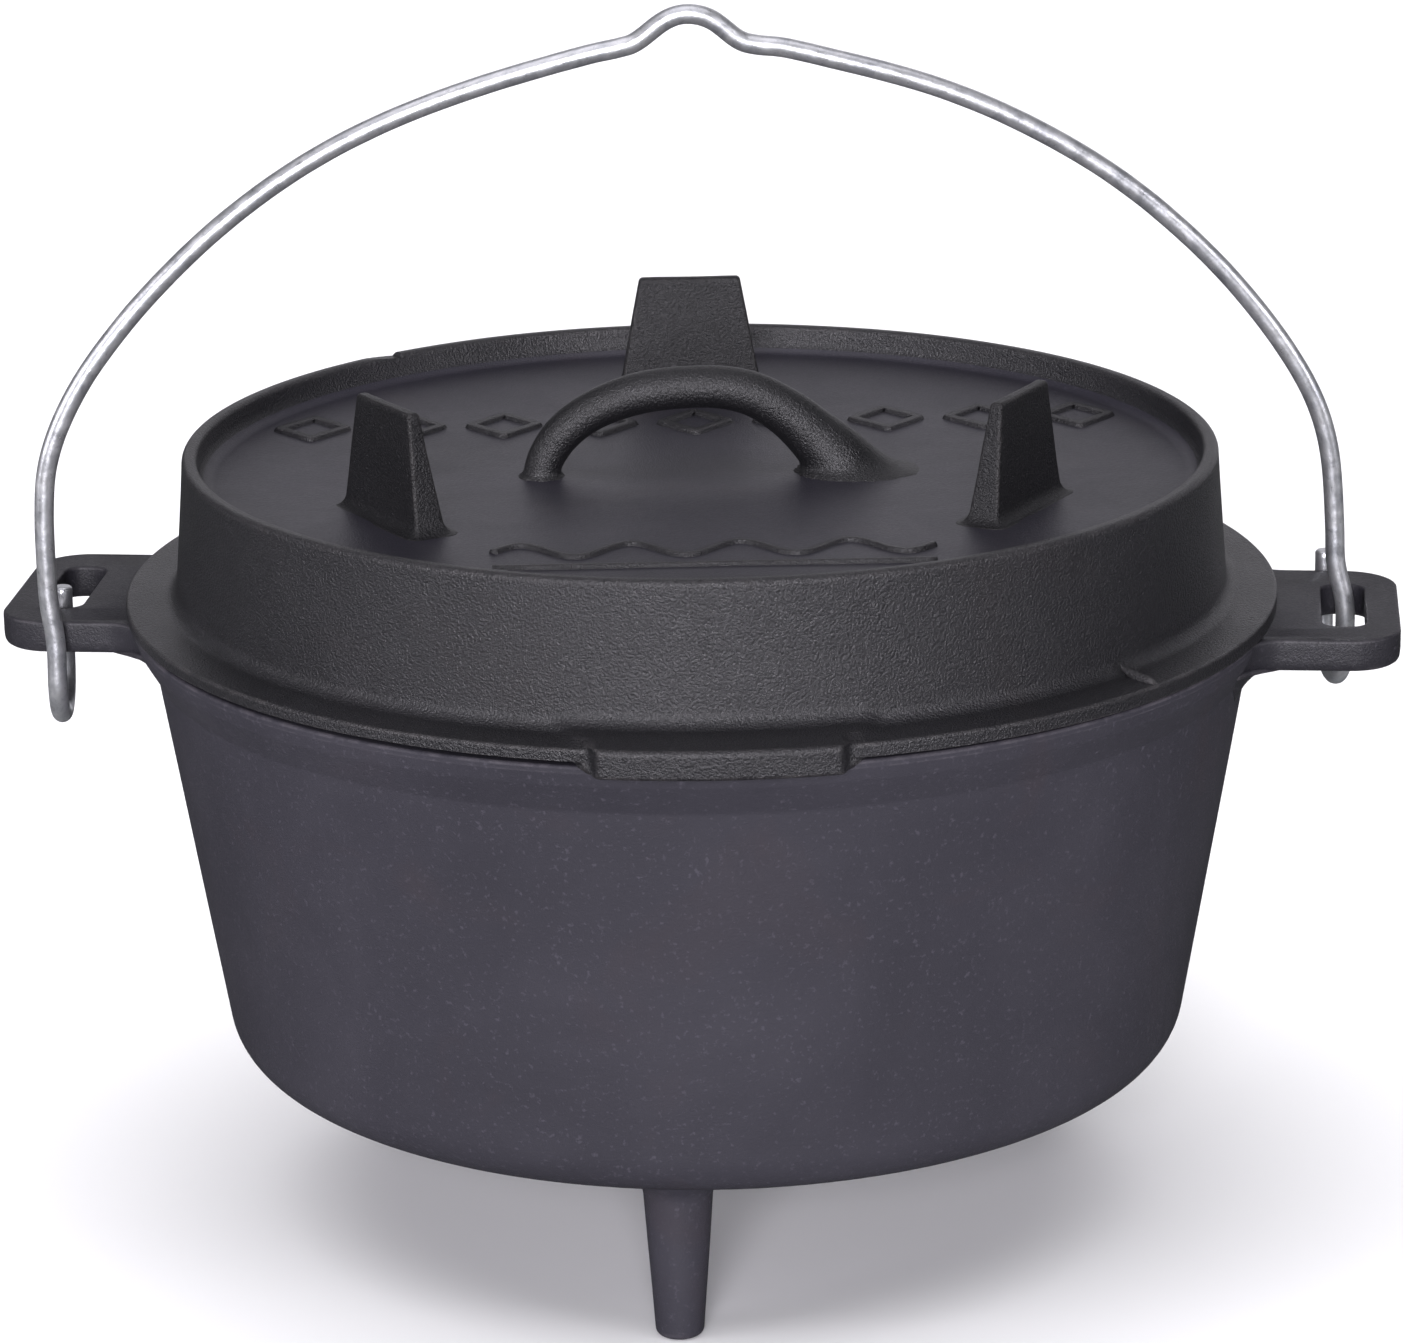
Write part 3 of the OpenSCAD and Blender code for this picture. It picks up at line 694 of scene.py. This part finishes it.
def lozenge(cx, cy, a, b, n=7):
    c = [(cx + a, cy), (cx, cy + b), (cx - a, cy), (cx, cy - b)]
    pts = []
    for i in range(4):
        p, q = np.array(c[i]), np.array(c[(i + 1) % 4])
        before, after = np.array(c[i - 1]), q
        # a small radius at each corner
        pts += [p + (before - p) * 0.06, p + (before - p) * 0.012 + (after - p) * 0.012, p + (after - p) * 0.06]
        pts += [p + (q - p) * (0.06 + 0.88 * k / n) for k in range(1, n)]
    return pts


verts, faces = ridge([lozenge(i * 25, 46, 8.6, 10.65) for i in range(-4, 5)], True, 1.45, 1.0, TRAY_Z)
finish_piece("relief_lozenges", spin(verts, LID_TURN), faces, [LID_IRON], "lid", ["back_relief"], wear=(0.06, 300, 1.5))
wave = [(-52 + 106 * i / 140, -78 + 5.5 * math.sin(2 * math.pi * 4 * i / 140)) for i in range(141)]
bar = [(-52 + 106 * i / 40, -92) for i in range(41)]
verts, faces = ridge([wave, bar], False, 1.0, 1.0, TRAY_Z)
finish_piece("relief_wave", spin(verts, LID_TURN), faces, [LID_IRON], "lid", ["front_relief"], wear=(0.06, 300, 9.5))

# a short rib left on the flange by the mould's gate
rings = []
for f in np.linspace(0, 1, 21):
    r = 134.8 + 10.9 * f
    s = math.sin(math.pi * f) ** 0.4 if 0 < f < 1 else 0.0
    floor_z = float(np.interp(r, [134.6, 135.6, 137.0, 139.0, 141.0, 146.4], [168.9, 167.5, 166.4, 165.7, 165.35, 165.0]))
    top = max(min(168.0 - 1.6 * f, floor_z + 1.5) - floor_z, 0.3) * s
    half_w = 0.3 + 0.85 * s
    ring = [(r, -half_w * math.cos(a) * (1.2 - 0.2 * math.sin(a)), floor_z - 0.25 + (top + 0.25) * math.sin(a) ** 0.8)
            for a in np.radians(np.linspace(0, 180, 11))]
    rings.append(ring + [(r, half_w, floor_z - 0.8), (r, -half_w, floor_z - 0.8)])
verts, faces = loft(rings)
finish_piece("flange_rib", spin(spin(verts, math.radians(-43.5)), LID_TURN), faces, [LID_IRON], "lid", ["casting_rib"], wear=(0.08, 300, 6.6))

# ---------------------------------------------------------------- bail
crown = [(-19.5, 148), (-15, 149.5), (-8, 154.5), (-2.5, 156), (3.5, 154.5), (10, 149.5), (14.5, 148)]
left_arch = [(-27, 146.5), (-40, 143.5), (-52, 140), (-65, 136), (-77, 131.5), (-87.5, 126.5), (-96, 122), (-104, 117),
             (-111, 112), (-117, 107.5), (-123, 102.5), (-128.5, 97.5), (-133.5, 92.5), (-138.5, 87.5), (-143, 82.5),
             (-147, 77.5), (-151, 72.5), (-154.5, 67.5), (-157.5, 62.5), (-160, 57.5), (-162.5, 52), (-164, 47),
             (-165, 42), (-165.5, 36), (-165.5, 28)]
right_arch = [(22, 147), (35.5, 143.5), (48, 140.5), (59, 137), (70, 132.5), (80.5, 127.5), (90, 122), (98.5, 117),
              (106, 111.5), (112.5, 106.5), (118.5, 101), (124, 96), (129, 91), (134, 85.5), (138.5, 80), (142.5, 75),
              (146.5, 69.5), (150, 64), (153, 59), (155.5, 54), (157.5, 48.5), (159, 43), (160, 37), (160.5, 30), (161, 20)]


def eased(pts):
    """The same run of points with small kinks taken out; its ends stay."""
    p = np.array(pts, float)
    for _ in range(2):
        q = p.copy()
        q[1:-1] = (p[:-2] + 2 * p[1:-1] + p[2:]) / 4
        p = q
    return p.tolist()


def hook(s, skew):
    R, D = 11, 21.5
    pts = [(s * 164, -R, 0), (s * 164, -R, R - D)]
    pts += [(s * (164 - skew * (1 - math.cos(math.pi * i / 8)) / 2), -R * math.cos(math.pi * i / 8),
             R - D - R * math.sin(math.pi * i / 8)) for i in range(1, 8)]
    return pts + [(s * (164 - skew), R, z) for z in (R - D, 0, 8.5)]


def flat(pts):
    return [(x, -11, z) for x, z in pts]


route = (flat(eased(left_arch)) + [(-165.3, -11, 12)] + hook(-1, 1))[::-1] + flat(crown) + flat(eased(right_arch)) + [(161.5, -11, 11)] + hook(1, 1.5)
path = spline(route, 6)
sides = 24
# the cut ends are chamfered
first, last = path[0].copy(), path[-1].copy()
ta = (path[1] - path[0]) / np.linalg.norm(path[1] - path[0])
tb = (path[-2] - path[-1]) / np.linalg.norm(path[-2] - path[-1])
body = path[1:-1]
path = np.concatenate([[first, first + ta * 0.12, first + ta * 0.35, first + ta * 0.6], body[1:-1],
                       [last + tb * 0.6, last + tb * 0.35, last + tb * 0.12, last]])
rad = np.full(len(path), 2.5)
rad[[0, -1]], rad[[1, -2]], rad[[2, -3]] = 1.95, 2.12, 2.36
rings = tube_rings(path, rad, sides, (1, 0, 0))
verts, faces = loft(rings)
verts = spin(verts, BAIL_TURN) + np.array([0, 0, EAR_Z])
finish_piece("bail", verts, faces, [ZINC], "bail", ["bail_wire"], wear=(0.07, 160, 12.9))

# ---------------------------------------------------------------- floor
me = bpy.data.meshes.new("studio_floor")
me.from_pydata([(-9, -6, 0), (9, -6, 0), (9, 12, 0), (-9, 12, 0)], [], [(0, 1, 2, 3)])
floor = bpy.data.objects.new("studio_floor", me)
bpy.context.scene.collection.objects.link(floor)
fm = bpy.data.materials.new("pale_floor")
fm.use_nodes = True
fb = fm.node_tree.nodes["Principled BSDF"]
fb.inputs["Base Color"].default_value = (0.93, 0.93, 0.93, 1)
fb.inputs["Roughness"].default_value = 0.9
fb.inputs["Specular IOR Level"].default_value = 0.1
me.materials.append(fm)
# the black iron mirrors the dark studio, not the floor
floor.visible_glossy = False

# ---------------------------------------------------------------- light
scene = bpy.context.scene
world = bpy.data.worlds.new("studio")
scene.world = world
world.use_nodes = True
world.node_tree.nodes["Background"].inputs["Color"].default_value = (0.93, 0.96, 1.0, 1)
world.node_tree.nodes["Background"].inputs["Strength"].default_value = 0.08


def sun(name, direction, strength, angle, colour=(1, 1, 1)):
    """A very soft parallel light that shines along direction."""
    l = bpy.data.lights.new(name, "SUN")
    l.energy, l.angle, l.color = strength, math.radians(angle), colour
    o = bpy.data.objects.new(name, l)
    scene.collection.objects.link(o)
    o.rotation_mode = "QUATERNION"
    o.rotation_quaternion = Vector(direction).normalized().to_track_quat("-Z", "Y")
    return o


def softbox(name, place, target, size_x, size_y, power, colour=(1, 1, 1)):
    l = bpy.data.lights.new(name, "AREA")
    l.shape, l.size, l.size_y, l.energy, l.color = "RECTANGLE", size_x, size_y, power, colour
    o = bpy.data.objects.new(name, l)
    scene.collection.objects.link(o)
    o.location = place
    o.rotation_mode = "QUATERNION"
    o.rotation_quaternion = (Vector(target) - Vector(place)).normalized().to_track_quat("-Z", "Y")
    return o


COOL = (1.0, 0.972, 1.045)
sun("top_light", (0.03, 0.10, -1), 0.85, 60, COOL)
sun("key_light", (-0.02, 1.0, -0.26), 3.3, 24, COOL)
sun("left_light", (0.90, 0.44, -0.27), 0.95, 30, COOL)
sun("right_light", (-0.90, 0.44, -0.27), 0.60, 24, COOL)
sun("back_light", (-0.08, -1.0, -0.30), 0.38, 60, COOL)
# the pale floor has a light of its own, so that it stays pale while the iron is lit from the front
floor_light = sun("floor_light", (0.02, 0.12, -1), 2.0, 75)
lit = bpy.data.collections.new("floor_only")
lit.objects.link(floor)
floor_light.light_linking.receiver_collection = lit

# ---------------------------------------------------------------- camera
cam = bpy.data.cameras.new("camera")
cam_ob = bpy.data.objects.new("camera", cam)
scene.collection.objects.link(cam_ob)
cam.sensor_width, cam.sensor_fit = 36, "HORIZONTAL"
cam.lens = 5474.7 / 1404 * 36
cam.clip_start, cam.clip_end = 0.05, 60
right, up, ahead = Vector((0.99555954, 0.0933396, -0.0122035)), Vector((-0.01531584, 0.28852544, 0.95734973)), Vector((-0.09287966, 0.95291174, -0.28867383))
cam_ob.matrix_world = Matrix(((right[0], up[0], -ahead[0], 0.13037548), (right[1], up[1], -ahead[1], -1.33929901),
                              (right[2], up[2], -ahead[2], 0.54584519), (0, 0, 0, 1)))
scene.camera = cam_ob
scene.view_settings.view_transform = "Standard"

bpy.context.view_layer.update()
